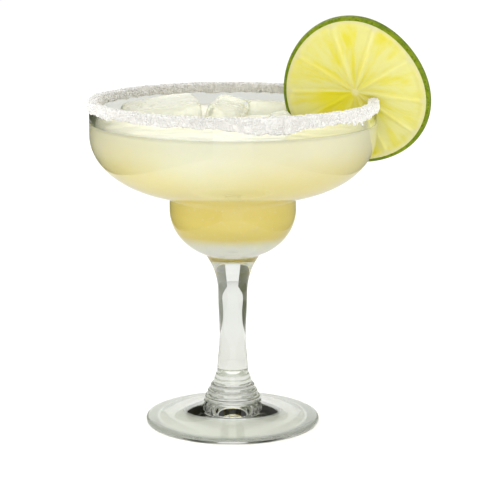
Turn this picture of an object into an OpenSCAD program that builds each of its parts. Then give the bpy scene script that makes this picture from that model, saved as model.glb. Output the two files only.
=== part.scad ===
// Margarita in a stemmed glass with a wide bowl over a narrow well.
// The glass holds the drink, four lumps of ice that stand out of it, a
// crust of salt round the rim and a lime wheel slit over the rim.
// +Z is up. The origin is on the axis of the glass, on the table.

/* [Foot] */
// Radius of the foot
foot_r = 35.3; // [28:0.1:44]
// Thickness of the foot at its rounded edge
foot_edge_h = 2.3; // [1.8:0.1:4]
// Height of the foot where the collar starts
foot_rise_h = 9; // [6:0.1:14]
// Depth of the hollow under the foot
foot_hollow_h = 5; // [1:0.1:5.5]
// Width of the flat ring that touches the table
foot_ring_w = 4; // [2:0.5:8]

/* [Collar] */
// Radius of the lowest bead
collar_r = 11.3; // [9:0.1:14]
// Radius of the foot of the drum above the beads
drum_r = 7.9; // [7:0.1:9]
// Height of the beads together
beads_h = 7; // [5:0.1:10]
// Number of beads
bead_count = 3; // [1:1:5]
// How far a bead stands out of the grooves beside it
bead_out = 0.7; // [0.2:0.1:1.2]
// Height of the drum
drum_h = 4.4; // [3:0.1:7]

/* [Stem] */
// Radius at the top of the drum
stem_foot_r = 6.3; // [5.5:0.1:7.2]
// Radius at the slimmest place
stem_waist_r = 5.35; // [4.5:0.05:6.5]
// Radius where the flare starts
stem_top_r = 5.9; // [5:0.05:7]
// Height from the drum to the slimmest place
stem_low_h = 15.4; // [10:0.1:25]
// Height from the slimmest place to the flare
stem_high_h = 16.2; // [10:0.1:25]
// Height of the flare under the well
flare_h = 17.5; // [12:0.1:24]
// Radius at which the flare meets the well
flare_r = 11.2; // [9:0.1:14]

/* [Well] */
// Outer radius of the well
well_r = 25.4; // [20:0.1:31]
// Radius of the flat middle of the well's floor
well_flat_r = 3; // [1:0.5:7]
// Height of the well's curved outside, down to where it meets the flare
well_curve_h = 18.3; // [15:0.1:24]
// Depth of the well's curved inside
well_inside_h = 11.8; // [9:0.1:20]
// Height of the well's straight wall
well_wall_h = 3.3; // [1:0.1:8]
// Radius of the round between the well and the bowl, outside
step_r = 3; // [1.5:0.5:6]

/* [Bowl] */
// Outer radius of the bowl and the rim
bowl_r = 57; // [47:0.5:69]
// Thickness of the wall
wall = 2.3; // [1.6:0.1:3.2]
// Height of the bowl's curve
bowl_curve_h = 24.5; // [18:0.5:32]
// Radius at which the bowl's curve would lie flat
bowl_flat_r = 20; // [12:0.5:24]
// Height of the straight band below the rim
band_h = 13.5; // [11:0.5:20]

/* [Drink and ice] */
// How far the drink lies below the rim
level_drop = 8.8; // [7:0.1:10.5]
// Clearance between the drink and what it touches
drink_gap = 0.05; // [0.02:0.01:0.2]
// Size of all the lumps of ice against their normal size
ice_scale = 1; // [0.8:0.05:1.2]

/* [Salt rim] */
// Depth of the crust outside the rim
salt_out_h = 4.6; // [3:0.1:6]
// Depth of the crust inside the rim
salt_in_h = 4; // [3:0.1:6]
// Thickness of the crust
salt_t = 1.3; // [0.8:0.1:2]
// Unevenness of the crust, as a share of its sizes
salt_rough = 0.25; // [0:0.05:0.35]
// Clearance between the crust and the glass
salt_gap = 0.05; // [0.02:0.01:0.2]

/* [Lime wheel] */
// Mean radius of the wheel
lime_r = 29.3; // [24:0.1:34]
// Thickness of the wheel
lime_t = 5.6; // [4:0.1:7]
// Place on the rim, as degrees from +X
lime_place = 6.5; // [-20:0.5:40]
// Turn of the wheel away from the radius of the glass, in degrees
lime_turn = -18.5; // [-25:0.5:25]
// Lean of the top of the wheel, in degrees
lime_lean = 5; // [-10:0.5:10]
// Distance from the rim's wall in to the core
lime_in = 6.4; // [3:0.1:12]
// Height of the core above the rim
lime_up = 2.9; // [1:0.1:8]
// Clearance between the slit and the glass
slit_gap = 0.3; // [0.1:0.05:0.6]

/* [Hidden] */

// Steps along each curve of the glass
curve_steps = 12;
// Width of the lip at the top of the drum
drum_lip = 0.45;
// How round the top of the hollow is: 1 is a plain cone
hollow_power = 1.5;
// How suddenly the flare opens
flare_power = 2.4;
// How far the top of the foot sags below a straight slope
foot_bow = 0.9;
// Steps round the wheel and the crust
lime_steps = 72;
salt_steps = 120;
// Size of the cut edges of the ice: 1 leaves them sharp
ice_bevel = 0.86;
// The drink's seam lies at the front, clear of what stands in it
seam_turn = -90;
// Crust is spared round the wheel by this much more
salt_spare = 0.7;

// Half-widths of the bowl's and the well's curves
bowl_a = bowl_r - bowl_flat_r;
well_a = well_r - well_flat_r;

// A point on a curve that runs from flat, at 0 degrees, to upright, at 90,
// round a middle at [cr, cz]; inset moves it towards the inside
function normal(a, b, t) = let (n = [sin(t) / a, -cos(t) / b]) n / norm(n);
function bend(cr, cz, a, b, t, inset = 0) =
    [cr + a * sin(t), cz - b * cos(t)] - inset * normal(a, b, t);

// Angle at which the step's round leaves the bowl's curve. The round's
// middle is step_r out from the well's wall, so each pass comes closer.
function join_angle(passes) = passes == 0 ? 10 :
    asin((well_r + step_r * (1 - normal(bowl_a, bowl_curve_h, join_angle(passes - 1))[0])
        - bowl_flat_r) / bowl_a);
join_t = join_angle(6);
join_n = normal(bowl_a, bowl_curve_h, join_t);

// Heights of the stations up the glass
drum_z = foot_rise_h + beads_h;
stem_z = drum_z + drum_h;
waist_z = stem_z + stem_low_h;
flare_z = waist_z + stem_high_h;
well_z = flare_z + flare_h + well_curve_h;
step_mid = [well_r + step_r, well_z + well_wall_h];
bowl_z = step_mid[1] + bowl_curve_h * cos(join_t) - step_r * join_n[1];
rim_z = bowl_z + band_h;
level_z = rim_z - level_drop;

function step_round(inset) = [for (i = [0 : curve_steps / 2])
    let (t = 180 - (90 - asin(join_n[0])) * i / (curve_steps / 2))
    step_mid + (step_r + inset) * [cos(t), sin(t)]];

function bowl_curve(inset) = [for (i = [1 : curve_steps + 4])
    bend(bowl_flat_r, bowl_z, bowl_a, bowl_curve_h,
        join_t + (90 - join_t) * i / (curve_steps + 4), inset)];

// The bowl's and the well's inside, from the axis up to a height
function inside(gap, top) = concat(
    [[0, well_z - well_inside_h + gap]],
    [for (i = [0 : curve_steps]) bend(well_flat_r, well_z, well_a - wall, well_inside_h,
        90 * i / curve_steps, gap)],
    step_round(wall + gap),
    bowl_curve(wall + gap),
    [[bowl_r - wall - gap, top]]);

// Outline of the collar's beads, from the foot up, each slimmer than the last
function beads() = [for (k = [0 : bead_count - 1], i = [0 : 5])
    [collar_r + (drum_r - collar_r) * k / bead_count - bead_out * (1 - sin(180 * i / 6)),
        foot_rise_h + beads_h * (k + i / 6) / bead_count]];

function ease(t) = (1 - cos(180 * t)) / 2;

function foot() = let (edge = foot_edge_h / 2, ring = foot_r - edge - foot_ring_w) concat(
    [for (i = [0 : 8]) [ring * i / 8, foot_hollow_h * (1 - pow(i / 8, hollow_power))]],
    [for (i = [0 : 6]) [foot_r - edge + edge * sin(180 * i / 6), edge - edge * cos(180 * i / 6)]],
    [for (i = [1 : 7]) let (t = i / 8)
        [foot_r - edge + (collar_r - bead_out - foot_r + edge) * t,
            foot_edge_h + (foot_rise_h - foot_edge_h) * t - foot_bow * sin(180 * t)]]);

function stem() = concat(
    [[drum_r - bead_out, drum_z], [drum_r, drum_z + bead_out],
        [stem_foot_r + drum_lip, stem_z - drum_lip], [stem_foot_r, stem_z]],
    [for (i = [1 : 6]) [stem_foot_r + (stem_waist_r - stem_foot_r) * ease(i / 6),
        stem_z + stem_low_h * i / 6]],
    [for (i = [1 : 6]) [stem_waist_r + (stem_top_r - stem_waist_r) * ease(i / 6),
        waist_z + stem_high_h * i / 6]],
    [for (i = [1 : curve_steps])
        [stem_top_r + (flare_r - stem_top_r) * pow(i / curve_steps, flare_power),
            flare_z + flare_h * i / curve_steps]]);

function well_outside() = let (start = asin((flare_r - well_flat_r) / well_a)) [
    for (i = [1 : curve_steps]) bend(well_flat_r, well_z, well_a,
        well_curve_h / cos(start), start + (90 - start) * i / curve_steps)];

function rim() = [for (i = [0 : 7])
    [bowl_r - wall / 2, rim_z - wall / 2] + wall / 2 * [cos(180 * i / 8), sin(180 * i / 8)]];

function reversed(list) = [for (i = [len(list) - 1 : -1 : 0]) list[i]];

module glass() {
    color([0.93, 0.95, 0.93, 0.5])
        rotate_extrude($fn = 96)
            polygon(concat(foot(), beads(), stem(), well_outside(), step_round(0), bowl_curve(0),
                rim(), reversed(inside(0, rim_z - wall / 2))));
}

module drink() {
    color([0.9, 0.86, 0.6])
        difference() {
            rotate([0, 0, seam_turn])
                rotate_extrude($fn = 96)
                    polygon(concat(inside(drink_gap, level_z), [[0, level_z]]));
            at_rim() wheel(drink_gap);
            for (k = [0 : len(ICE) - 1])
                ice(k, drink_gap);
        }
}

// Lumps of ice: degrees round the bowl, share of the way out to the wall,
// box, height above the drink, and turn
ICE = [
    [150, 0.88, [31, 27, 22], 6.2, [3, -8, 8]],
    [103, 0.37, [14, 19, 17], 6.6, [10, 14, -14]],
    [67, 0.74, [18, 17, 15], 5.0, [-6, 6, 12]],
    [18, 0.42, [8.4, 9.4, 9], 2.7, [14, -12, 20]],
];

// A box with its twelve edges cut off by boxes that stand at 45 degrees
module lump(box, grow) {
    across = box + 2 * grow * [1, 1, 1];
    cut = ice_bevel / sqrt(2);
    long = 2 * max(box);
    intersection() {
        cube(across, center = true);
        rotate([0, 0, 45]) cube([cut * (across[0] + across[1]), cut * (across[0] + across[1]), long],
            center = true);
        rotate([0, 45, 0]) cube([cut * (across[0] + across[2]), long, cut * (across[0] + across[2])],
            center = true);
        rotate([45, 0, 0]) cube([long, cut * (across[1] + across[2]), cut * (across[1] + across[2])],
            center = true);
    }
}

module ice(k, grow) {
    place = ICE[k][0];
    box = ICE[k][2] * ice_scale;
    out = (bowl_r - wall - norm([box[0], box[1]]) * ice_bevel / 2) * ICE[k][1];
    rotate([0, 0, place])
        translate([out, 0, level_z + ICE[k][3] - box[2] / 2])
            rotate([0, 0, -place])
                rotate(ICE[k][4])
                    lump(box, grow);
}

// The bowl's wall, grown by a gap, to cut from what it passes through
module bowl_wall(gap) {
    rotate_extrude($fn = 96)
        polygon(concat(bowl_curve(-gap), [[bowl_r + gap, rim_z + gap],
            [bowl_r - wall - gap, rim_z + gap]], reversed(bowl_curve(wall + gap))));
}

// All the room inside the glass, and above its rim, less a gap at the wall
module room(gap) {
    high = rim_z + bowl_r;
    rotate_extrude($fn = 96)
        polygon(concat(inside(gap, high), [[0, high]]));
}

// A lump as it lies against the wall, the wheel and the lumps before it
module ice_piece(k) {
    color([0.88, 0.9, 0.85])
        difference() {
            intersection() {
                ice(k, 0);
                room(drink_gap);
            }
            at_rim() wheel(drink_gap);
            for (j = [0 : 1 : k - 1])
                ice(j, drink_gap);
        }
}

module ice_1() { ice_piece(0); }
module ice_2() { ice_piece(1); }
module ice_3() { ice_piece(2); }
module ice_4() { ice_piece(3); }

// The crust's section at one place: a saddle over the rim with uneven sides
function bump(turn, middle, width) =
    let (off = abs((turn - middle + 540) % 360 - 180)) off > width ? 0 : (1 + cos(180 * off / width)) / 2;
function salt_section(turn, rough) =
    let (ri = bowl_r - wall - salt_gap, ro = bowl_r + salt_gap, zt = rim_z + salt_gap,
        out_h = salt_out_h * (1 + 0.45 * bump(turn, 290, 40) + rough[0]),
        in_h = salt_in_h * (1 + rough[1]),
        t = salt_t * (1 + rough[2]), u = salt_t * (1 + rough[3]))
    [[ri, zt - in_h], [ri - 0.75 * t, zt - in_h + 0.4], [ri - t, zt - in_h / 2],
        [ri - 0.8 * t, zt], [ri, zt + 0.8 * u], [(ri + ro) / 2, zt + u], [ro, zt + 0.8 * t],
        [ro + 0.8 * u, zt], [ro + u, zt - out_h / 2], [ro + 0.8 * t, zt - out_h + 0.5],
        [ro, zt - out_h], [ro, zt], [ri, zt]];

module salt_rim() {
    spare = atan((lime_t / 2 / cos(lime_turn) + (wall / 2 + salt_t) * abs(tan(lime_turn)) + salt_spare)
        / bowl_r);
    points_each = 13;
    rough = rands(-salt_rough, salt_rough, 4 * (salt_steps + 1), 7);
    sections = [for (i = [0 : salt_steps])
        let (turn = lime_place + spare + (360 - 2 * spare) * i / salt_steps)
        [for (p = salt_section(turn, [for (j = [0 : 3]) rough[4 * i + j]]))
            [p[0] * cos(turn), p[0] * sin(turn), p[1]]]];
    sides = [for (i = [0 : salt_steps - 1], j = [0 : points_each - 1])
        let (a = i * points_each + j, b = i * points_each + (j + 1) % points_each)
        each [[a, b, b + points_each], [a, b + points_each, a + points_each]]];
    ends = [[for (j = [points_each - 1 : -1 : 0]) j],
        [for (j = [0 : points_each - 1]) salt_steps * points_each + j]];
    color([0.96, 0.96, 0.93])
        polyhedron([for (s = sections) each s], concat(sides, ends));
}

// Outline of the wheel, a little uneven as a lime grows
function lime_outline(grow) = [for (i = [0 : lime_steps - 1])
    let (t = 360 * i / lime_steps)
    (lime_r * (1 + 0.035 * cos(2 * (t + 44)) + 0.022 * cos(3 * (t + 24))) + grow) * [cos(t), sin(t)]];

module at_rim() {
    rotate([0, 0, lime_place])
        translate([bowl_r - wall / 2, 0, rim_z])
            rotate([0, 0, lime_turn])
                translate([-lime_in, 0, lime_up])
                    rotate([lime_lean, 0, 0])
                        children();
}

module wheel(grow) {
    rotate([90, 0, 0])
        linear_extrude(lime_t + 2 * grow, center = true)
            polygon(lime_outline(grow));
}

module lime_wheel() {
    color([0.9, 0.9, 0.5])
        difference() {
            at_rim() wheel(0);
            bowl_wall(slit_gap);
        }
}

glass();
drink();
salt_rim();
lime_wheel();
ice_1();
ice_2();
ice_3();
ice_4();
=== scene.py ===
"""A margarita's looks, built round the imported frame: glass, cloudy drink, salt rim, ice and lime."""
import random
from math import asin, atan2, cos, degrees, exp, pi, radians, sin, sqrt, tau
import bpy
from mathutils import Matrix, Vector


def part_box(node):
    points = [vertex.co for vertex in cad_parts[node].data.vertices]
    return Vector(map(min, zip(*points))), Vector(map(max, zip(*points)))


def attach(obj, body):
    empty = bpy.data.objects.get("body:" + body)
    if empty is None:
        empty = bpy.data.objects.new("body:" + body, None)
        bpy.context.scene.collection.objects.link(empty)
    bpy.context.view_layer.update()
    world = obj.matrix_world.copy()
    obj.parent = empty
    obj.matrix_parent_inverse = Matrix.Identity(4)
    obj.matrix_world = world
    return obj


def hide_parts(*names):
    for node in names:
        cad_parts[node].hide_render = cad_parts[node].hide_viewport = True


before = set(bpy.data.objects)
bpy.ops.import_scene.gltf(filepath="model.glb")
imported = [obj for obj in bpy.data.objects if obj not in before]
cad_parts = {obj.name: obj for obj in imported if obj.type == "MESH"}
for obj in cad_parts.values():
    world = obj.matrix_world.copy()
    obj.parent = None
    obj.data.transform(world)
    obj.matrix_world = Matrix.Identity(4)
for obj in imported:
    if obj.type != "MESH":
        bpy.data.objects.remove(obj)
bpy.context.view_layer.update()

from types import SimpleNamespace

import bpy
import numpy as np
from bpy.props import FloatProperty, FloatVectorProperty, IntProperty, PointerProperty
from mathutils import Euler, Matrix, Vector, noise

bl_info = {
    "name": "Margarita in a Stemmed Glass",
    "version": (1, 0, 0),
    "blender": (4, 5, 0),
    "location": "View3D > Sidebar > Cocktail",
    "description": "Models a margarita with its salted rim, ice and lime wheel",
    "category": "Add Mesh",
}

MM = 0.001
GLASS_STEPS = 144    # steps of the turned glass and drink, which share them so that they fit
LIME_STEPS = 320
CRUST_STEPS = 420


def length(name, millimetres, description):
    """A length property whose default is given in millimetres."""
    return FloatProperty(name=name, description=description, default=millimetres * MM, min=0.0,
                         precision=5, subtype="DISTANCE", unit="LENGTH")


def number(name, default, description, **more):
    """A plain number property."""
    return FloatProperty(name=name, default=default, description=description, **more)


def angle(name, degrees_, description):
    """An angle property whose default is given in degrees."""
    return FloatProperty(name=name, description=description, default=radians(degrees_),
                         subtype="ANGLE", unit="ROTATION")


def linear(hexed):
    """A display colour such as "EEE985" as linear red, green and blue."""
    parts = [int(hexed[i:i + 2], 16) / 255 for i in (0, 2, 4)]
    return tuple(c / 12.92 if c <= 0.04045 else ((c + 0.055) / 1.055) ** 2.4 for c in parts)


def colour(name, hexed, description):
    """A colour property whose default is given as a display colour."""
    return FloatVectorProperty(name=name, description=description, default=linear(hexed), size=3,
                               min=0.0, max=1.0, subtype="COLOR")


# ---------------------------------------------------------------- properties

class GlassSizes(bpy.types.PropertyGroup):
    """Sizes of the glass, from the foot up"""
    foot_radius: length("Foot radius", 35.3, "Radius of the foot")
    foot_edge: length("Foot edge", 2.3, "Thickness of the foot at its edge")
    foot_rise: length("Foot rise", 9.0, "Height of the foot where the collar starts")
    foot_hollow: length("Foot hollow", 5.0, "Depth of the hollow under the foot")
    foot_ring: length("Foot ring", 4.0, "Width of the ring that touches the table")
    foot_bow: length("Foot bow", 0.9, "How far the top of the foot sags below a slope")
    collar_radius: length("Collar radius", 11.3, "Radius of the lowest bead")
    drum_radius: length("Drum radius", 7.9, "Radius of the foot of the drum")
    beads_height: length("Beads height", 7.0, "Height of the beads together")
    bead_count: IntProperty(name="Beads", description="Number of beads", default=3, min=1, max=5)
    bead_out: length("Bead depth", 0.7, "How far a bead stands out of its grooves")
    drum_height: length("Drum height", 4.4, "Height of the drum above the beads")
    drum_lip: length("Drum lip", 0.45, "Width of the lip at the top of the drum")
    stem_foot: length("Stem foot", 6.3, "Radius of the stem at the drum")
    stem_waist: length("Stem waist", 5.35, "Radius of the stem where it is slimmest")
    stem_top: length("Stem top", 5.9, "Radius of the stem where the flare starts")
    stem_low: length("Lower stem", 15.4, "Height from the drum to the waist")
    stem_high: length("Upper stem", 16.2, "Height from the waist to the flare")
    flare_height: length("Flare height", 17.5, "Height of the flare under the well")
    flare_radius: length("Flare radius", 11.2, "Radius where the flare meets the well")
    flare_power: number("Flare power", 2.4, "How suddenly the flare opens")
    well_radius: length("Well radius", 25.4, "Outer radius of the well")
    well_flat: length("Well flat", 3.0, "Radius of the flat middle of the well's floor")
    well_curve: length("Well curve", 18.3, "Height of the well's curved outside")
    well_inside: length("Well depth", 11.8, "Depth of the well's curved inside")
    well_wall: length("Well wall", 3.3, "Height of the well's straight wall")
    step_radius: length("Step round", 3.0, "Round between the well and the bowl")
    bowl_radius: length("Bowl radius", 57.0, "Outer radius of the bowl and the rim")
    wall: length("Wall", 2.3, "Thickness of the wall")
    bowl_curve: length("Bowl curve", 24.5, "Height of the bowl's curve")
    bowl_flat: length("Bowl flat", 20.0, "Radius at which the bowl's curve would lie flat")
    band: length("Band", 13.5, "Height of the straight band below the rim")
    tint: colour("Tint", "FBFDF9", "Colour of the glass")


class DrinkSettings(bpy.types.PropertyGroup):
    """Level and colours of the drink"""
    drop: length("Drop", 8.8, "How far the drink lies below the rim")
    bite: length("Bite", 0.12, "How far the drink reaches into the wall, so that no gap shows")
    creep: length("Creep", 0.35, "How far the drink creeps up the wall")
    frost: colour("Frost", "F8F2DA", "Colour at the icy top")
    # This colour is both the foam of floating ice crystals and painted light: the pale band over the well's
    # floor stands in for light sent up by the thick glass floor.
    foam_and_floor_light: colour("Foam", "FFFDF2", "Colour where crystals of ice float, and at the floor of the well")
    middle: colour("Middle", "F4E6A0", "Colour half way down the bowl")
    deep: colour("Deep", "EAD678", "Colour in the well")


class SaltSettings(bpy.types.PropertyGroup):
    """Crust and crystals of the salt rim"""
    outside: length("Outside depth", 3.5, "Depth of the crust outside the rim")
    inside: length("Inside depth", 3.4, "Depth of the crust inside the rim")
    thick: length("Thickness", 0.5, "Thickness of the packed crust under the crystals")
    crystal: length("Crystal", 0.44, "Mean size of a crystal")
    crystals: IntProperty(name="Crystals", description="Number of crystals on the crust", default=12000)
    white: colour("White", "DEDCD7", "Colour of the salt")


class LimeSettings(bpy.types.PropertyGroup):
    """Place, sizes and colours of the lime wheel"""
    radius: length("Radius", 29.3, "Mean radius of the wheel")
    thick: length("Thickness", 5.6, "Thickness of the wheel")
    place: angle("Place", 6.5, "Place of the wheel on the rim")
    turn: angle("Turn", -18.5, "Turn of the wheel away from the glass's radius")
    lean: angle("Lean", 5.0, "Lean of the wheel's top towards the front")
    inward: length("Inward", 6.4, "Distance from the wall in to the core")
    up: length("Up", 2.9, "Height of the core above the rim")
    slit: length("Slit gap", 0.3, "Clearance between the slit and the wall")
    segments: IntProperty(name="Segments", description="Number of segments", default=10)
    flesh: colour("Flesh", "C6C37C", "Colour of the pale flesh")
    streak: colour("Streaks", "C6BE3A", "Colour of the darker streaks")
    pith: colour("Pith", "D1CE9E", "Colour of the pith, core and membranes")
    # Painted shade: this colour darkens the flesh where the glass and drink behind the wheel keep back the
    # light that shines through it.
    shaded_flesh: colour("Juiciest flesh", "C9C11E", "Colour of the wettest, most see-through flesh")
    rind: colour("Rind", "8F980A", "Colour of the skin")
    rind_dark: colour("Dark rind", "566A08", "Colour of the skin's dark spots")


class IceSettings(bpy.types.PropertyGroup):
    """Looks of the ice"""
    tint: colour("Tint", "F4F6F0", "Colour of the ice")
    melt: length("Melt", 2.6, "Radius to which the edges have melted")
    uneven: length("Unevenness", 0.5, "How far the faces are out of true")


class StageSettings(bpy.types.PropertyGroup):
    """Camera, floor and light"""
    distance: length("Distance", 761, "Camera's distance in front")
    height: length("Height", 228, "Camera's height")
    aside: length("Aside", 2.9, "Camera's place to the right")
    pitch: angle("Pitch", 11.37, "How far the camera looks down")
    roll: angle("Roll", 0.12, "How far the camera is tilted to the side")
    lens: number("Lens", 144.8, "Focal length, in millimetres")
    sky: number("Sky", 1.1, "Strength of the even light")
    mirrored: number("Mirrored sky", 0.9, "Brightness of the room that shows in the glass")
    shade: number("Mirrored floor", 0.62, "Brightness of the floor that shows in the glass, as a share")
    key: number("Key", 3.0, "Power of the soft key light, in watts")
    fill: number("Fill", 3.2, "Power of each of the three fill lights, in watts")
    low: number("Low lights", 0.9, "Power of the low left light, in watts; the others have a share of it")
    floor: colour("Floor", "F7F7F5", "Colour of the floor")


# ------------------------------------------------------------ modelling help

def settings():
    """The add-on's settings on the scene."""
    return bpy.context.scene.cocktail


def mode(name):
    """Goes into edit or object mode."""
    bpy.ops.object.mode_set(mode=name)


def select(action):
    """Selects or deselects the whole mesh in edit mode."""
    bpy.ops.mesh.select_all(action=action)


def deselect_all():
    """Leaves nothing selected, in object mode."""
    if bpy.context.object and bpy.context.object.mode != "OBJECT":
        mode("OBJECT")
    bpy.ops.object.select_all(action="DESELECT")


def only(piece):
    """Makes piece the one selected and active object."""
    deselect_all()
    piece.select_set(True)
    bpy.context.view_layer.objects.active = piece


def lathe(name, outline, steps, sweep=tau, start=0.0, closed=False):
    """Turns an outline of (radius, height) points round the upright axis, with a spin."""
    deselect_all()
    bpy.ops.mesh.primitive_plane_add(size=MM)
    piece = bpy.context.object
    piece.name = piece.data.name = name
    mode("EDIT")
    select("SELECT")
    bpy.ops.mesh.merge(type="CENTER")
    heading = Vector((cos(start), sin(start), 0.0))
    last = Vector((0.0, 0.0, 0.0))
    for count, (radius, height) in enumerate(outline):
        place = heading * radius + Vector((0.0, 0.0, height))
        if count == 0:
            bpy.ops.transform.translate(value=place - last)
        else:
            bpy.ops.mesh.extrude_vertices_move(TRANSFORM_OT_translate={"value": place - last})
        last = place
    select("SELECT")
    if closed:
        mode("OBJECT")
        mesh = piece.data
        mesh.edges.add(1)
        mesh.edges[-1].vertices = (0, len(mesh.vertices) - 1)
        mesh.update()
        mode("EDIT")
        select("SELECT")
    bpy.ops.mesh.spin(steps=steps, angle=sweep, center=(0, 0, 0), axis=(0, 0, 1))
    select("SELECT")
    bpy.ops.mesh.remove_doubles(threshold=1e-6)
    if sweep < tau:
        select("DESELECT")
        bpy.ops.mesh.select_non_manifold()
        bpy.ops.mesh.edge_face_add()
        select("SELECT")
    bpy.ops.mesh.normals_make_consistent(inside=False)
    mode("OBJECT")
    return piece


def vertices_of(piece):
    """A piece's vertices as an array of rows."""
    flat = np.empty(len(piece.data.vertices) * 3)
    piece.data.vertices.foreach_get("co", flat)
    return flat.reshape(-1, 3)


def set_vertices(piece, rows):
    """Moves a piece's vertices to the rows given."""
    piece.data.vertices.foreach_set("co", np.asarray(rows, float).ravel())
    piece.data.update()


def apply_modifiers(piece):
    """Applies every modifier of a piece in order."""
    only(piece)
    for modifier in list(piece.modifiers):
        bpy.ops.object.modifier_apply(modifier=modifier.name)


def place_in_mesh(piece):
    """Puts a piece's place, turn and size into its mesh."""
    only(piece)
    bpy.ops.object.transform_apply(location=True, rotation=True, scale=True)


def smooth(piece, limit=None):
    """Shades a piece smooth, or smooth but for edges sharper than limit."""
    only(piece)
    if limit is None:
        bpy.ops.object.shade_smooth()
    else:
        bpy.ops.object.shade_smooth_by_angle(angle=limit)


def finish_piece(piece, material, slot, *nodes):
    """Gives a piece its material and its body, and hides the CAD nodes it stands for; slot is not used."""
    if material is not None:
        piece.data.materials.clear()
        piece.data.materials.append(material)
    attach(piece, "root")
    if nodes:
        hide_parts(*nodes)


def wobble(place, size, seed):
    """Smooth noise between about -1 and 1 at a place, with bumps of the size given."""
    return noise.noise(Vector(place) / size + Vector((seed * 7.3, seed * 3.1, seed * 1.7)))


# -------------------------------------------------------------- glass shape

def normal(a, b, t):
    """Outward direction of an elliptic curve at t, as (radius, height)."""
    return Vector((sin(t) / a, -cos(t) / b)).normalized()


def bend(middle, a, b, t, inset=0.0):
    """A point on a curve that runs from flat, at 0, to upright, at a right angle, moved in by inset."""
    return Vector(middle) + Vector((a * sin(t), -b * cos(t))) - inset * normal(a, b, t)


def ease(t):
    """0 to 1 with a soft start and end."""
    return (1 - cos(pi * t)) / 2


def stations(g):
    """The heights and curves worked out from the glass's sizes."""
    s = SimpleNamespace()
    s.bowl_a = g.bowl_radius - g.bowl_flat
    s.well_a = g.well_radius - g.well_flat
    s.join_t = radians(10)
    for _ in range(8):
        lean = normal(s.bowl_a, g.bowl_curve, s.join_t)[0]
        s.join_t = asin((g.well_radius + g.step_radius * (1 - lean) - g.bowl_flat) / s.bowl_a)
    s.join_n = normal(s.bowl_a, g.bowl_curve, s.join_t)
    s.drum_z = g.foot_rise + g.beads_height
    s.stem_z = s.drum_z + g.drum_height
    s.waist_z = s.stem_z + g.stem_low
    s.flare_z = s.waist_z + g.stem_high
    s.well_z = s.flare_z + g.flare_height + g.well_curve
    s.step_middle = Vector((g.well_radius + g.step_radius, s.well_z + g.well_wall))
    s.bowl_z = s.step_middle[1] + g.bowl_curve * cos(s.join_t) - g.step_radius * s.join_n[1]
    s.rim_z = s.bowl_z + g.band
    return s


def step_round(g, s, inset, steps=12):
    """The round between the well and the bowl."""
    sweep = pi / 2 - asin(s.join_n[0])
    for i in range(steps + 1):
        t = pi - sweep * i / steps
        yield s.step_middle + (g.step_radius + inset) * Vector((cos(t), sin(t)))


def bowl_side(g, s, inset, steps=30):
    """The bowl's curve, from the step up to the band."""
    for i in range(1, steps + 1):
        t = s.join_t + (pi / 2 - s.join_t) * i / steps
        yield bend((g.bowl_flat, s.bowl_z), s.bowl_a, g.bowl_curve, t, inset)


def inside(g, s, gap, top, steps=24):
    """The glass's inside from the axis up to a height, moved in by gap."""
    yield Vector((0.0, s.well_z - g.well_inside + gap))
    for i in range(steps + 1):
        yield bend((g.well_flat, s.well_z), s.well_a - g.wall, g.well_inside, pi / 2 * i / steps, gap)
    yield from step_round(g, s, g.wall + gap)
    yield from bowl_side(g, s, g.wall + gap)
    side = g.bowl_radius - g.wall - gap
    for share in (0.35, 0.7, 1.0):
        yield Vector((side, s.bowl_z + (top - s.bowl_z) * share))


def foot_outline(g):
    """The foot, from the middle of its hollow out, round its edge and in to the collar."""
    edge = g.foot_edge / 2
    ring = g.foot_radius - edge - g.foot_ring
    for i in range(25):
        yield Vector((ring * i / 24, g.foot_hollow * (1 - (i / 24) ** 1.5)))
    for i in range(15):
        t = pi * i / 14
        yield Vector((g.foot_radius - edge + edge * sin(t), edge - edge * cos(t)))
    reach = g.collar_radius - g.bead_out - g.foot_radius + edge
    for i in range(1, 20):
        t = i / 20
        yield Vector((g.foot_radius - edge + reach * t,
                      g.foot_edge + (g.foot_rise - g.foot_edge) * t - g.foot_bow * sin(pi * t)))


def stem_outline(g, s):
    """The collar's beads and drum, the stem and the flare."""
    for bead in range(g.bead_count):
        radius = g.collar_radius + (g.drum_radius - g.collar_radius) * bead / g.bead_count
        for i in range(10):
            yield Vector((radius - g.bead_out * (1 - sin(pi * i / 10)),
                          g.foot_rise + g.beads_height * (bead + i / 10) / g.bead_count))
    lip = g.stem_foot + g.drum_lip
    yield Vector((g.drum_radius - g.bead_out, s.drum_z))
    for i in range(5):
        t = pi / 2 * i / 4
        yield Vector((g.drum_radius - g.bead_out * (1 - sin(t)), s.drum_z + g.bead_out * (1 - cos(t))))
    for i in range(1, 6):
        t = i / 6
        yield Vector((g.drum_radius + (lip - g.drum_radius) * t,
                      s.drum_z + g.bead_out + (s.stem_z - g.drum_lip - s.drum_z - g.bead_out) * t))
    for i in range(6):
        t = pi / 2 * i / 5
        yield Vector((lip - g.drum_lip * sin(t), s.stem_z - g.drum_lip * cos(t)))
    for low, high, start, rise in ((g.stem_foot, g.stem_waist, s.stem_z, g.stem_low),
                                   (g.stem_waist, g.stem_top, s.waist_z, g.stem_high)):
        for i in range(1, 13):
            yield Vector((low + (high - low) * ease(i / 12), start + rise * i / 12))
    for i in range(1, 19):
        yield Vector((g.stem_top + (g.flare_radius - g.stem_top) * (i / 18) ** g.flare_power,
                      s.flare_z + g.flare_height * i / 18))


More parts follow.
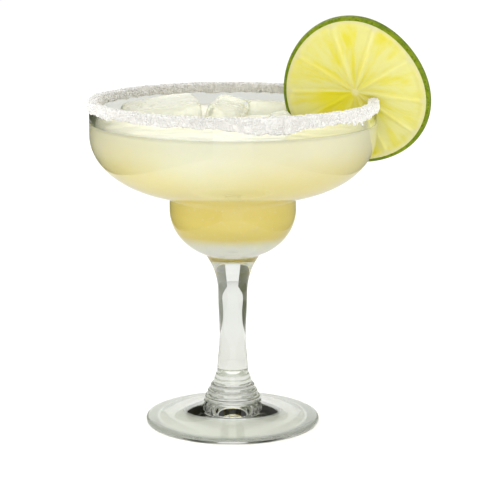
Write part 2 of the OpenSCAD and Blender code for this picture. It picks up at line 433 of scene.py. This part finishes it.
def glass_outline(g, s):
    """The whole glass in one line, from under the foot to the floor of the well."""
    yield from foot_outline(g)
    yield from stem_outline(g, s)
    start = asin((g.flare_radius - g.well_flat) / s.well_a)
    for i in range(1, 25):
        yield bend((g.well_flat, s.well_z), s.well_a, g.well_curve / cos(start),
                   start + (pi / 2 - start) * i / 24)
    yield from step_round(g, s, 0.0)
    yield from bowl_side(g, s, 0.0)
    half = g.wall / 2
    for i in range(15):
        t = pi * i / 14
        yield Vector((g.bowl_radius - half + half * cos(t), s.rim_z - half + half * sin(t)))
    yield from reversed(list(inside(g, s, 0.0, s.rim_z - half))[:-1])


# ---------------------------------------------------------------- materials

class Nodes:
    """A node tree, with short ways to add and link nodes."""

    def __init__(self, tree):
        self.tree = tree
        self.nodes = tree.nodes

    def add(self, kind, **values):
        """Adds a node; a value named like a socket sets it or links to it, others set the node."""
        node = self.nodes.new(kind)
        for name, value in values.items():
            if name.startswith("in_"):
                key = name[3:]
                socket = node.inputs[int(key)] if key.isdigit() else node.inputs[key.replace("_", " ")]
                self.feed(socket, value)
            else:
                setattr(node, name, value)
        return node

    def feed(self, socket, value):
        """Sets a socket to a value or links it from another."""
        if isinstance(value, bpy.types.NodeSocket):
            self.tree.links.new(value, socket)
        elif hasattr(socket.default_value, "__len__") and not hasattr(value, "__len__"):
            socket.default_value = (value,) * len(socket.default_value)
        elif hasattr(socket.default_value, "__len__") and len(socket.default_value) == 4 and len(value) == 3:
            socket.default_value = (*value, 1.0)
        else:
            socket.default_value = value

    def math(self, operation, *values, clamp=False):
        """A math node's result."""
        node = self.add("ShaderNodeMath", operation=operation, use_clamp=clamp)
        for socket, value in zip(node.inputs, values):
            self.feed(socket, value)
        return node.outputs[0]

    def plus(self, first, second, clamp=False):
        """The sum of two values."""
        return self.math("ADD", first, second, clamp=clamp)

    def minus(self, first, second, clamp=False):
        """The first value less the second."""
        return self.math("SUBTRACT", first, second, clamp=clamp)

    def times(self, first, second):
        """The product of two values."""
        return self.math("MULTIPLY", first, second)

    def mix(self, share, first, second):
        """A colour between two colours."""
        node = self.add("ShaderNodeMix", data_type="RGBA")
        self.feed(node.inputs[0], share)
        self.feed(node.inputs[6], first)
        self.feed(node.inputs[7], second)
        return node.outputs[2]

    def ramp(self, value, low, high):
        """0 below low, 1 above high and smooth between."""
        node = self.add("ShaderNodeMapRange", interpolation_type="SMOOTHSTEP")
        for socket, number in zip(node.inputs[:5], (value, low, high, 0.0, 1.0)):
            self.feed(socket, number)
        return node.outputs[0]

    def fall(self, value, low, high):
        """1 below low, 0 above high and smooth between."""
        return self.minus(1.0, self.ramp(value, low, high))

    def place(self):
        """The Object coordinates."""
        return self.add("ShaderNodeTexCoord").outputs["Object"]

    def noise(self, vector, scale, detail=3.0, roughness=0.5):
        """Noise at a vector."""
        return self.add("ShaderNodeTexNoise", in_Vector=vector, in_Scale=scale, in_Detail=detail,
                        in_Roughness=roughness).outputs["Fac"]

    def bump(self, height, distance, strength=1.0):
        """The normal that a height gives."""
        return self.add("ShaderNodeBump", in_Height=height, in_Distance=distance,
                        in_Strength=strength).outputs["Normal"]

    def seen_in_glass(self):
        """1 for what shows in or through glass, 0 for what is seen straight or gives light."""
        path = self.add("ShaderNodeLightPath").outputs
        glass = self.math("MAXIMUM", path["Is Glossy Ray"], path["Is Transmission Ray"])
        return self.times(glass, self.math("LESS_THAN", path["Diffuse Depth"], 0.5))


class Shader(Nodes):
    """A material with a main shader."""

    def __init__(self, name):
        self.material = bpy.data.materials.new(name)
        self.material.use_nodes = True
        super().__init__(self.material.node_tree)
        self.main = self.nodes["Principled BSDF"]
        self.output = self.nodes["Material Output"]

    def set(self, **values):
        """Sets or links inputs of the main shader."""
        for name, value in values.items():
            self.feed(self.main.inputs[name.replace("_", " ")], value)


def clear_shader(name, tint, ior, roughness):
    """A clear material that lets light from lamps reach what lies behind it."""
    shader = Shader(name)
    shader.set(Base_Color=tint, Roughness=roughness, IOR=ior, Transmission_Weight=1.0)
    path = shader.add("ShaderNodeLightPath").outputs["Is Shadow Ray"]
    through = shader.add("ShaderNodeBsdfTransparent", in_Color=tint).outputs[0]
    blend = shader.add("ShaderNodeMixShader", in_0=path)
    shader.feed(blend.inputs[1], shader.main.outputs[0])
    shader.feed(blend.inputs[2], through)
    shader.feed(shader.output.inputs["Surface"], blend.outputs[0])
    return shader


def drink_material(d, g, s):
    """Cloudy drink: frosty at the top, yellower towards the well, and painted light makes it pale over the
    well's thick floor.
    """
    shader = Shader("cloudy_drink")
    place = shader.place()
    height = shader.add("ShaderNodeSeparateXYZ", in_Vector=place).outputs["Z"]
    drift = shader.noise(place, 55.0, 2.0)
    shifted = shader.plus(height, shader.times(shader.minus(drift, 0.5), 0.012))
    level = s.rim_z - d.drop
    base = s.well_z - g.well_inside
    low = shader.ramp(shifted, base, s.bowl_z - 0.5 * g.bowl_curve)
    high = shader.ramp(shifted, s.bowl_z - 0.7 * g.bowl_curve, level)
    tone = shader.mix(high, shader.mix(low, d.deep, d.middle), d.frost)
    from_patch = shader.add("ShaderNodeVectorMath", operation="DISTANCE", in_0=place,
                            in_1=(-0.014, -g.bowl_radius, level)).outputs["Value"]
    patch = shader.fall(from_patch, 0.006, 0.036)
    tone = shader.mix(shader.times(patch, 0.45), tone, d.foam_and_floor_light)
    # Painted light: the drink turns to the pale colour over the well's floor, standing in for the light that
    # the thick glass floor sends up.
    painted_floor_light = shader.fall(height, base + 0.6 * MM, base + 4.0 * MM)
    tone = shader.mix(painted_floor_light, tone, d.foam_and_floor_light)
    specks = shader.ramp(shader.noise(place, 900.0, 2.0), 0.62, 0.75)
    shader.set(Base_Color=shader.mix(shader.times(specks, 0.35), tone, d.frost), Roughness=0.12, IOR=1.34,
               Specular_IOR_Level=0.3, Subsurface_Weight=0.5, Subsurface_Radius=(1.0, 0.9, 0.5),
               Subsurface_Scale=0.006)
    return shader.material


def salt_material(w, name, share):
    """White salt that lets a little light in."""
    shader = Shader(name)
    place = shader.place()
    patches = shader.noise(place, 260.0, 3.0)
    tone = shader.mix(shader.ramp(patches, 0.35, 0.7), [0.94 * c for c in w.white], w.white)
    shader.set(Base_Color=tone, Roughness=0.42, Specular_IOR_Level=0.4, Subsurface_Weight=share,
               Subsurface_Radius=(1.0, 1.0, 0.95), Subsurface_Scale=0.003,
               Normal=shader.bump(shader.noise(place, 2200.0, 2.0), 0.00012))
    return shader.material


def flesh_material(m):
    """Lime flesh in segments of radial vesicles, with pale membranes, core and pith, and painted shade left
    of and below the core.
    """
    shader = Shader("lime_flesh")
    chart = shader.add("ShaderNodeUVMap", uv_map="wheel").outputs["UV"]
    parts = shader.add("ShaderNodeSeparateXYZ", in_Vector=chart)
    turn = shader.times(parts.outputs["X"], float(m.segments))
    share = parts.outputs["Y"]
    place = shader.place()
    strands = shader.add("ShaderNodeCombineXYZ", in_X=shader.times(turn, 3.2),
                         in_Y=shader.times(share, 2.2)).outputs[0]
    streaks = shader.noise(strands, 1.0, 3.0, 0.6)
    broad = shader.add("ShaderNodeCombineXYZ", in_X=shader.times(turn, 1.3),
                       in_Y=shader.times(share, 1.6)).outputs[0]
    patches = shader.noise(broad, 1.0, 2.0)
    inner = shader.fall(share, 0.08, 0.62)
    deepness = shader.plus(shader.times(inner, 0.4), shader.times(shader.ramp(patches, 0.4, 0.68), 0.75))
    deepness = shader.plus(deepness, shader.times(shader.minus(streaks, 0.5), 3.0), clamp=True)
    flesh = shader.mix(deepness, m.flesh, m.streak)
    # Painted shade: left of and below the core, where the glass and drink stand behind the wheel and keep
    # back the light that shines through it, the flesh turns a darker, more saturated yellow and the
    # membranes fade.
    circle = shader.math("FRACT", parts.outputs["X"])
    shaded_side = shader.times(shader.ramp(circle, 0.492, 0.505), shader.fall(circle, 0.62, 0.8))
    shaded_side = shader.times(shaded_side, shader.fall(share, 0.3, 0.85))
    flesh = shader.mix(shader.times(shaded_side, shader.plus(0.55, streaks)), flesh, m.shaded_flesh)
    off = shader.math("ABSOLUTE", shader.minus(shader.math("FRACT", turn), 0.5))
    from_edge = shader.minus(0.5, off)
    membrane = shader.fall(shader.times(from_edge, share), 0.008, 0.09)
    # Membranes stay pale only outside the painted shade.
    out_of_shade = shader.minus(1.0, shader.times(shaded_side, 1.4), clamp=True)
    thin = shader.times(membrane, shader.times(out_of_shade, shader.times(0.42, patches)))
    pale = shader.mix(thin, flesh, m.pith)
    rounded = shader.minus(share, shader.times(shader.ramp(from_edge, 0.0, 0.16), 0.035))
    ring = shader.ramp(rounded, 0.85, 0.91)
    core = shader.fall(share, 0.02, 0.07)
    centred = shader.mix(shader.times(core, 0.75), pale, m.pith)
    whole = shader.mix(shader.times(ring, 0.8), centred, [0.78 * c for c in m.pith])
    wet = shader.noise(place, 420.0, 2.0)
    shader.set(Base_Color=whole, Roughness=shader.plus(0.24, shader.times(wet, 0.2)),
               Specular_IOR_Level=0.4, Subsurface_Weight=0.75, Subsurface_Radius=(1.0, 0.9, 0.35),
               Subsurface_Scale=0.005,
               Normal=shader.bump(shader.plus(streaks, shader.times(membrane, 0.25)), 0.0004))
    return shader.material


def rind_material(m):
    """Waxy green skin with pores."""
    shader = Shader("lime_rind")
    place = shader.place()
    pores = shader.add("ShaderNodeTexVoronoi", in_Vector=place, in_Scale=780.0).outputs["Distance"]
    tone = shader.mix(shader.ramp(shader.noise(place, 130.0, 3.0), 0.35, 0.65), m.rind, m.rind_dark)
    tone = shader.mix(shader.times(shader.ramp(pores, 0.1, 0.45), 0.3), m.rind_dark, tone)
    shader.set(Base_Color=tone, Roughness=0.4, Specular_IOR_Level=0.15, Subsurface_Weight=0.15,
               Subsurface_Radius=(0.6, 1.0, 0.2), Subsurface_Scale=0.0015,
               Normal=shader.bump(shader.ramp(pores, 0.0, 0.5), 0.0004))
    return shader.material


# ---------------------------------------------------------------- operators

class COCKTAIL_OT_glass(bpy.types.Operator):
    """Turn the glass on its axis, at steps fine enough to bend light smoothly"""
    bl_idname = "cocktail.glass"
    bl_label = "Glass"

    def execute(self, context):
        g = settings().glass
        piece = lathe("glass_turned", list(glass_outline(g, stations(g))), GLASS_STEPS)
        smooth(piece)
        shader = clear_shader("clear_glass", g.tint, 1.5, 0.0)
        finish_piece(piece, shader.material, "clear_glass", "glass")
        return {"FINISHED"}


class COCKTAIL_OT_drink(bpy.types.Operator):
    """Fill the glass with the drink, just into the wall and creeping up it at the surface"""
    bl_idname = "cocktail.drink"
    bl_label = "Drink"

    def execute(self, context):
        g, d = settings().glass, settings().drink
        s = stations(g)
        level = s.rim_z - d.drop
        outline = list(inside(g, s, -d.bite, level + d.creep))
        side = outline[-1][0]
        reach = 1.4 * MM
        for i in range(1, 41):
            radius = side * (1 - (i / 40) ** 1.6)
            outline.append(Vector((radius, level + d.creep * exp(-(side - radius) / reach))))
        piece = lathe("drink_poured", outline, GLASS_STEPS)
        rows = vertices_of(piece)
        for row in rows:
            if row[2] > level - 0.2 * MM and row[0] ** 2 + row[1] ** 2 < (side - 4 * MM) ** 2:
                row[2] += 0.35 * MM * wobble(row, 9 * MM, 1) + 0.12 * MM * wobble(row, 3 * MM, 2)
        set_vertices(piece, rows)
        smooth(piece)
        finish_piece(piece, drink_material(d, g, s), "drink", "drink")
        return {"FINISHED"}


def wheel_matrix(g, s, m):
    """The place of the lime wheel's own frame: +X along the wheel, +Z up it, -Y out of its front."""
    return (Matrix.Rotation(m.place, 4, "Z") @ Matrix.Translation((g.bowl_radius - g.wall / 2, 0, s.rim_z))
            @ Matrix.Rotation(m.turn, 4, "Z") @ Matrix.Translation((-m.inward, 0, m.up))
            @ Matrix.Rotation(m.lean, 4, "X"))


def lime_growth(t):
    """How far out of round the lime is at an angle."""
    return 1 + 0.035 * cos(2 * (t + radians(44))) + 0.022 * cos(3 * (t + radians(24)))


def segment_turn(t, count):
    """The angle counted in segments, which are uneven in width."""
    return (t + 0.1 * sin(2 * t + 0.6) + 0.07 * sin(3 * t + 2.0)) / tau * count


class COCKTAIL_OT_lime(bpy.types.Operator):
    """Cut the lime wheel, with its segments in relief, and slit it over the rim"""
    bl_idname = "cocktail.lime"
    bl_label = "Lime wheel"

    FLESH_END = 0.955

    def execute(self, context):
        g, m = settings().glass, settings().lime
        s = stations(g)
        half, radius, edge = m.thick / 2, m.radius, 0.9 * MM
        face = [(radius * self.FLESH_END * (i / 40) ** 0.85, half) for i in range(41)]
        skin = [(radius - edge + edge * sin(t), half - edge + edge * cos(t))
                for t in [pi / 2 * i / 6 for i in range(7)]]
        front = face + skin
        outline = front + [(radius + 0.35 * MM, 0.0)] + [(r, -h) for r, h in reversed(front)]
        piece = lathe("lime_wheel_cut", outline, LIME_STEPS)
        rows = vertices_of(piece)
        for row in rows:
            self.shape(row, m, half)
        set_vertices(piece, rows)
        piece.data.transform(wheel_matrix(g, s, m) @ Matrix.Rotation(pi / 2, 4, "X"))
        self.slit(piece, g, s, m)
        self.chart(piece, wheel_matrix(g, s, m), m)
        smooth(piece, radians(38))
        finish_piece(piece, None, "lime", "lime_wheel")
        return {"FINISHED"}

    def shape(self, row, m, half):
        """Moves one point: the lime's growth, its sunken flesh, and the membranes and core between."""
        t = atan2(row[1], row[0])
        share = sqrt(row[0] ** 2 + row[1] ** 2) / m.radius
        row[0] *= lime_growth(t)
        row[1] *= lime_growth(t)
        if share < 0.9 and abs(row[2]) > half - 0.1 * MM:
            turn = segment_turn(t, m.segments)
            across = abs(turn - round(turn)) / m.segments * tau * share * m.radius
            sink = (1 - exp(-(across / (0.9 * MM)) ** 2)) * min(1.0, share / 0.15)
            sink *= min(1.0, (0.9 - share) / 0.04)
            ripple = wobble((turn * 2.6, share * 3.0, row[2] * 500), 1.0, 5)
            side = 1 if row[2] > 0 else -1
            row[2] -= side * sink * (0.38 + 0.22 * ripple) * MM

    def slit(self, piece, g, s, m):
        """Cuts the wheel where the bowl's wall passes through it."""
        outline = list(bowl_side(g, s, -m.slit, 24))
        outline += [Vector((g.bowl_radius + m.slit, s.rim_z + m.slit)),
                    Vector((g.bowl_radius - g.wall - m.slit, s.rim_z + m.slit))]
        outline += reversed(list(bowl_side(g, s, g.wall + m.slit, 24)))
        cutter = lathe("wall_cutter", outline, 90, sweep=radians(40), start=m.place - radians(20),
                       closed=True)
        cut = piece.modifiers.new("slit", "BOOLEAN")
        cut.object = cutter
        cut.operation = "DIFFERENCE"
        cut.solver = "EXACT"
        apply_modifiers(piece)
        bpy.data.objects.remove(cutter)

    def chart(self, piece, matrix, m):
        """Maps each corner to its turn round the wheel and share of the radius, and picks skin or flesh."""
        mesh = piece.data
        mesh.materials.clear()
        mesh.materials.append(flesh_material(m))
        mesh.materials.append(rind_material(m))
        chart = mesh.uv_layers.new(name="wheel") if not mesh.uv_layers else mesh.uv_layers[0]
        chart.name = "wheel"
        own = matrix.inverted()
        spots = [own @ v.co for v in mesh.vertices]
        turns = [segment_turn(atan2(p.z, p.x), m.segments) for p in spots]
        shares = [sqrt(p.x ** 2 + p.z ** 2) / m.radius / lime_growth(atan2(p.z, p.x)) for p in spots]
        for face in mesh.polygons:
            here = [turns[v] for v in face.vertices]
            away = [shares[v] for v in face.vertices]
            most = max(here)
            here = [h + m.segments if most - h > m.segments / 2 else h for h in here]
            far = [h for h, a in zip(here, away) if a > 1e-3]
            for loop, h, a in zip(face.loop_indices, here, away):
                h = h if a > 1e-3 or not far else sum(far) / len(far)
                chart.data[loop].uv = (h / m.segments, a)
            face.material_index = 1 if sum(away) / len(away) > self.FLESH_END else 0


SAG_PLACE, SAG_REACH, SAG_SHARE = 283, 26, 0.6    # where the crust hangs lower, to each side, by how much
DRIPS = ((-36.5, 2.4), (-33.5, 1.6), (-30.5, 2.8), (-27.5, 1.2))    # place in degrees, length in mm
DRIP_WIDTH = 0.55


def degrees_from(turn, place):
    """The angle from a place on the rim to a turn, in degrees, between -180 and 180."""
    return (degrees(turn) - place + 540) % 360 - 180


def salt_depth(w, turn):
    """How far the crust reaches down outside the rim at a place round it."""
    off = abs(degrees_from(turn, SAG_PLACE))
    sag = 0.0 if off > SAG_REACH else (1 + cos(pi * off / SAG_REACH)) / 2
    depth = w.outside * (1 + SAG_SHARE * sag)
    ring = (cos(turn), sin(turn), 0.0)
    depth *= 1 + 0.28 * wobble(ring, 0.11, 11) + 0.16 * wobble(ring, 0.035, 12)
    for drip, long in DRIPS:
        depth += long * MM * exp(-(degrees_from(turn, drip) / DRIP_WIDTH) ** 2)
    return depth


class COCKTAIL_OT_salt(bpy.types.Operator):
    """Pack a crust of salt on the rim and strew it with crystals"""
    bl_idname = "cocktail.salt"
    bl_label = "Salt rim"

    def execute(self, context):
        g, w, m = settings().glass, settings().salt, settings().lime
        s = stations(g)
        crust = self.crust(g, s, w, m)
        finish_piece(crust, salt_material(w, "packed_salt", 0.6), "salt", "salt_rim")
        self.strew(crust, g, s, w)
        return {"FINISHED"}

    def crust(self, g, s, w, m):
        """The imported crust: a saddle over the rim, open round the lime wheel."""
        inner, outer = g.bowl_radius - g.wall, g.bowl_radius
        middle, half = (inner + outer) / 2, 0.5 * g.wall
        top, t, skin = s.rim_z, w.thick, 0.05 * MM
        section = [(inner, top - w.inside)]
        section += [(inner - t * sin(pi * i / 9) ** 0.5, top - w.inside + (w.inside + 0.1 * t) * i / 9)
                    for i in range(1, 9)]
        section += [(middle - (half + 0.8 * t) * cos(pi * i / 8), top + 0.1 * t + 0.5 * t * sin(pi * i / 8))
                    for i in range(9)]
        section += [(outer + t * sin(pi * i / 10) ** 0.5, top - w.outside * i / 10) for i in range(1, 10)]
        section += [(outer, top - w.outside), (outer, top - half), (outer - 0.3 * g.wall, top - skin),
                    (inner + 0.3 * g.wall, top - skin), (inner, top - half)]
        half_gap = radians(4.9)
        piece = lathe("salt_crust", section, CRUST_STEPS, sweep=tau - 2 * half_gap, start=m.place + half_gap,
                      closed=True)
        rows = vertices_of(piece)
        for row in rows:
            turn = atan2(row[1], row[0])
            radius = sqrt(row[0] ** 2 + row[1] ** 2)
            if row[2] < top - half:
                depth, full = salt_depth(w, turn), w.outside
                if radius <= middle:
                    depth = w.inside * (1 + 0.3 * wobble((cos(turn), sin(turn), 3.0), 0.06, 13))
                    full = w.inside
                share = (top - row[2]) / full
                row[2] = top - (half + (depth - half) * (share * full - half) / (full - half))
            if radius > outer + skin or radius < inner - skin or row[2] > top + skin:
                lump = 0.45 * wobble(row, 3.2 * MM, 14) + 0.3 * wobble(row, 1.2 * MM, 15)
                out = 1 if radius > middle else -1
                scale = (radius + out * lump * t) / radius
                row[0] *= scale
                row[1] *= scale
                row[2] += 0.4 * lump * t if row[2] > top else 0.0
        set_vertices(piece, rows)
        smooth(piece)
        return piece

    def strew(self, crust, g, s, w):
        """One mesh of many crystals, each a cut cube, on the crust's outer faces."""
        dice = random.Random(21)
        mesh = crust.data
        mesh.calc_loop_triangles()
        rows = vertices_of(crust)
        spots, areas = [], []
        inner, outer, near = g.bowl_radius - g.wall, g.bowl_radius, 0.03 * MM
        for triangle in mesh.loop_triangles:
            a, b, c = (Vector(rows[i]) for i in triangle.vertices)
            middle = (a + b + c) / 3
            radius = middle.xy.length
            if inner + near < radius < outer - near and middle.z < s.rim_z:
                continue
            if abs(radius - outer) < near or abs(radius - inner) < near:
                continue
            spots.append((a, b, c, Vector(triangle.normal)))
            areas.append((b - a).cross(c - a).length)
        totals = np.cumsum(areas)
        crystal = self.crystal_shape()
        points, faces = [], []
        for _ in range(w.crystals):
            a, b, c, out = spots[int(np.searchsorted(totals, dice.random() * totals[-1]))]
            u, v = dice.random(), dice.random()
            if u + v > 1:
                u, v = 1 - u, 1 - v
            size = w.crystal * dice.uniform(0.55, 1.45)
            place = a + (b - a) * u + (c - a) * v + out * size * dice.uniform(0.05, 0.4)
            self.put(crystal, place, size, dice, points, faces)
        piece = self.joined("salt_crystals", points, faces)
        finish_piece(piece, salt_material(w, "salt_crystal", 0.4), "salt", "salt_rim")

    def crystal_shape(self):
        """The corners and faces of one crystal: a cube with a corner cut off."""
        deselect_all()
        bpy.ops.mesh.primitive_cube_add(size=1.0)
        cube = bpy.context.object
        mode("EDIT")
        bpy.ops.mesh.select_mode(type="VERT")
        select("DESELECT")
        mode("OBJECT")
        cube.data.vertices[0].select = True
        mode("EDIT")
        bpy.ops.mesh.bevel(offset=0.32, affect="VERTICES")
        mode("OBJECT")
        if len(cube.data.polygons) != 7:
            raise RuntimeError("a crystal should have six sides and one cut corner")
        shape = (vertices_of(cube).copy(), [list(f.vertices) for f in cube.data.polygons])
        bpy.data.objects.remove(cube)
        return shape

    def put(self, shape, place, size, dice, points, faces):
        """Adds one turned and stretched copy of a shape to the lists."""
        corners, sides = shape
        turn = np.array(Euler([dice.uniform(0, tau) for _ in range(3)]).to_matrix())
        stretch = np.array([dice.uniform(0.7, 1.2) for _ in range(3)]) * size
        first = len(points) * len(corners)
        points.append((corners * stretch) @ turn.T + np.array(place))
        faces.append([[first + i for i in side] for side in sides])

    def joined(self, name, points, faces):
        """A piece from lists of corners and faces."""
        mesh = bpy.data.meshes.new(name)
        mesh.from_pydata(np.concatenate(points).tolist(), [], [side for group in faces for side in group])
        mesh.update()
        piece = bpy.data.objects.new(name, mesh)
        bpy.context.scene.collection.objects.link(piece)
        return piece


# Each lump's node, its box before melting, in millimetres, and its turn in degrees
ICE_LUMPS = (
    ("ice_1", (31.0, 27.0, 22.0), (3.0, -8.0, 8.0)),
    ("ice_2", (14.0, 19.0, 17.0), (10.0, 14.0, -14.0)),
    ("ice_3", (18.0, 17.0, 15.0), (-6.0, 6.0, 12.0)),
    ("ice_4", (8.4, 9.4, 9.0), (14.0, -12.0, 20.0)),
)


class COCKTAIL_OT_ice(bpy.types.Operator):
    """Melt the lumps of ice to round, uneven shapes"""
    bl_idname = "cocktail.ice"
    bl_label = "Ice"

    def execute(self, context):
        i = settings().ice
        shader = clear_shader("wet_ice", i.tint, 1.31, 0.04)
        place = shader.place()
        waves = shader.noise(place, 190.0, 3.0)
        shader.set(Normal=shader.bump(waves, 0.0012, 0.7), Transmission_Weight=0.7)
        for seed, (node, box, turn) in enumerate(ICE_LUMPS):
            low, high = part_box(node)
            deselect_all()
            bpy.ops.mesh.primitive_cube_add(size=1.0, location=(low + high) / 2,
                                            rotation=[radians(a) for a in turn],
                                            scale=[side * MM for side in box])
            piece = bpy.context.object
            piece.name = piece.data.name = node + "_melted"
            place_in_mesh(piece)
            mode("EDIT")
            select("SELECT")
            bpy.ops.mesh.bevel(offset=min(i.melt, min(box) * 0.22 * MM), segments=4, affect="EDGES")
            select("SELECT")
            bpy.ops.mesh.subdivide(number_cuts=5)
            mode("OBJECT")
            round_off = piece.modifiers.new("melt", "REMESH")
            round_off.mode = "VOXEL"
            round_off.voxel_size = 0.45 * MM
            soften = piece.modifiers.new("soften", "SMOOTH")
            soften.factor = 0.6
            soften.iterations = 10
            apply_modifiers(piece)
            rows = vertices_of(piece)
            middle = rows.mean(axis=0)
            for row in rows:
                out = row - middle
                out /= max(np.linalg.norm(out), 1e-9)
                row += out * (i.uneven * 1.3 * wobble(row, 9 * MM, 30 + seed)
                              + i.uneven * 0.5 * wobble(row, 3.5 * MM, 40 + seed))
            set_vertices(piece, rows)
            smooth(piece)
            finish_piece(piece, shader.material, "ice", node)
        return {"FINISHED"}


# Each lamp's name and place, and a low lamp's share of the power
FILLS = (("left", (-1.3, -0.3, 0.6)), ("front", (0.1, -1.35, 0.7)), ("right", (1.3, -0.3, 0.6)))
LOWS = (("left", (-0.4, -0.12, 0.08), 1.0), ("front", (0.0, -0.4, 0.03), 0.85),
        ("right", (0.4, -0.12, 0.08), 0.9))
FOOT_GLOW = (0.036, 0.046)    # the floor that shows in the glass turns from bright to dark between these


class COCKTAIL_OT_stage(bpy.types.Operator):
    """Set the camera, the pale floor and the soft studio light"""
    bl_idname = "cocktail.stage"
    bl_label = "Stage"

    def execute(self, context):
        a = settings().stage
        scene = context.scene
        scene.view_settings.view_transform = "Standard"
        scene.cycles.max_bounces = scene.cycles.transmission_bounces = 24
        camera = bpy.data.objects.new("camera", bpy.data.cameras.new("camera"))
        camera.data.lens = a.lens
        camera.data.clip_end = 50.0
        camera.location = (a.aside, -a.distance, a.height)
        camera.rotation_euler = (Matrix.Rotation(pi / 2 - a.pitch, 3, "X")
                                 @ Matrix.Rotation(a.roll, 3, "Z")).to_euler()
        scene.collection.objects.link(camera)
        scene.camera = camera
        self.floor(a)
        self.sky(scene, a)
        self.lamp("key", (-0.55, 0.35, 1.05), 0.8, a.key)
        for name, place in FILLS:
            self.lamp("fill_" + name, place, 1.2, a.fill).visible_transmission = False
        for name, place, share in LOWS:
            low = self.lamp("low_" + name, place, 0.4, share * a.low)
            low.visible_glossy = low.visible_transmission = False
        self.flag("flag_left", -0.13, (0.09, 0.095, 0.06))
        self.flag("flag_right", 0.13, (0.2, 0.205, 0.18))
        return {"FINISHED"}

    def floor(self, a):
        """A plain pale floor, darker where it shows in the glass, but for the part under the foot."""
        deselect_all()
        bpy.ops.mesh.primitive_circle_add(vertices=64, radius=9.0, fill_type="NGON")
        floor = bpy.context.object
        floor.name = "floor"
        shader = Shader("floor_paper")
        place = shader.place()
        paper = shader.mix(shader.noise(place, 3.0), a.floor, [0.99 * c for c in a.floor])
        away = shader.add("ShaderNodeVectorMath", operation="LENGTH", in_0=place).outputs["Value"]
        mirrored = shader.mix(shader.ramp(away, *FOOT_GLOW), paper, [a.shade * c for c in a.floor])
        shader.set(Base_Color=shader.mix(shader.seen_in_glass(), paper, mirrored), Roughness=0.9,
                   Specular_IOR_Level=0.0)
        floor.data.materials.append(shader.material)

    def sky(self, scene, a):
        """Even light from all round, which is white where it is seen straight."""
        world = bpy.data.worlds.new("studio")
        world.use_nodes = True
        nodes = Nodes(world.node_tree)
        strength = nodes.add("ShaderNodeMapRange", in_Value=nodes.seen_in_glass(), in_To_Min=a.sky,
                             in_To_Max=a.mirrored).outputs[0]
        back = nodes.nodes["Background"]
        nodes.feed(back.inputs["Strength"], strength)
        nodes.feed(back.inputs["Color"], (1.0, 1.0, 1.0))
        scene.world = world

    def lamp(self, name, place, size, power):
        """A soft lamp that faces the drink."""
        light = bpy.data.lights.new(name, "AREA")
        light.shape = "DISK"
        light.size = size
        light.energy = power
        lamp = bpy.data.objects.new(name, light)
        lamp.location = place
        lamp.rotation_euler = (Vector((0, 0, 0.1)) - Vector(place)).to_track_quat("-Z", "Y").to_euler()
        bpy.context.scene.collection.objects.link(lamp)
        return lamp

    def flag(self, name, aside, tone):
        """A dark card beside the drink, which only shows in the glass."""
        deselect_all()
        bpy.ops.mesh.primitive_plane_add(size=1.0, location=(aside, 0.0, 0.04),
                                         rotation=(0, pi / 2, 0), scale=(0.08, 0.2, 1.0))
        card = bpy.context.object
        card.name = name
        place_in_mesh(card)
        shader = Shader(name + "_card")
        shader.set(Base_Color=tone, Roughness=1.0, Specular_IOR_Level=0.0)
        card.data.materials.append(shader.material)
        card.visible_camera = False
        card.visible_diffuse = False
        card.visible_shadow = False


class CocktailSettings(bpy.types.PropertyGroup):
    """All the settings of the cocktail"""
    glass: PointerProperty(type=GlassSizes, name="Glass", description="Sizes of the glass")
    drink: PointerProperty(type=DrinkSettings, name="Drink", description="Level and colours of the drink")
    salt: PointerProperty(type=SaltSettings, name="Salt", description="Crust and crystals")
    lime: PointerProperty(type=LimeSettings, name="Lime", description="Place and looks of the lime wheel")
    ice: PointerProperty(type=IceSettings, name="Ice", description="Looks of the ice")
    stage: PointerProperty(type=StageSettings, name="Stage", description="Camera, floor and light")


STEPS = (COCKTAIL_OT_glass, COCKTAIL_OT_drink, COCKTAIL_OT_lime, COCKTAIL_OT_salt, COCKTAIL_OT_ice,
         COCKTAIL_OT_stage)


class COCKTAIL_PT_panel(bpy.types.Panel):
    """Lists the steps that build the cocktail"""
    bl_idname = "COCKTAIL_PT_panel"
    bl_label = "Cocktail"
    bl_space_type = "VIEW_3D"
    bl_region_type = "UI"
    bl_category = "Cocktail"

    def draw(self, context):
        for step in STEPS:
            self.layout.operator(step.bl_idname)


CLASSES = (GlassSizes, DrinkSettings, SaltSettings, LimeSettings, IceSettings, StageSettings,
           CocktailSettings, *STEPS, COCKTAIL_PT_panel)


def register():
    """Adds the add-on's classes and settings."""
    for cls in CLASSES:
        bpy.utils.register_class(cls)
    bpy.types.Scene.cocktail = PointerProperty(type=CocktailSettings)


def unregister():
    """Removes the add-on's classes and settings."""
    del bpy.types.Scene.cocktail
    for cls in reversed(CLASSES):
        bpy.utils.unregister_class(cls)


def main():
    """Builds every piece and the stage."""
    register()
    bpy.ops.cocktail.glass()
    bpy.ops.cocktail.drink()
    bpy.ops.cocktail.lime()
    bpy.ops.cocktail.salt()
    bpy.ops.cocktail.ice()
    bpy.ops.cocktail.stage()


if __name__ == "__main__":
    main()
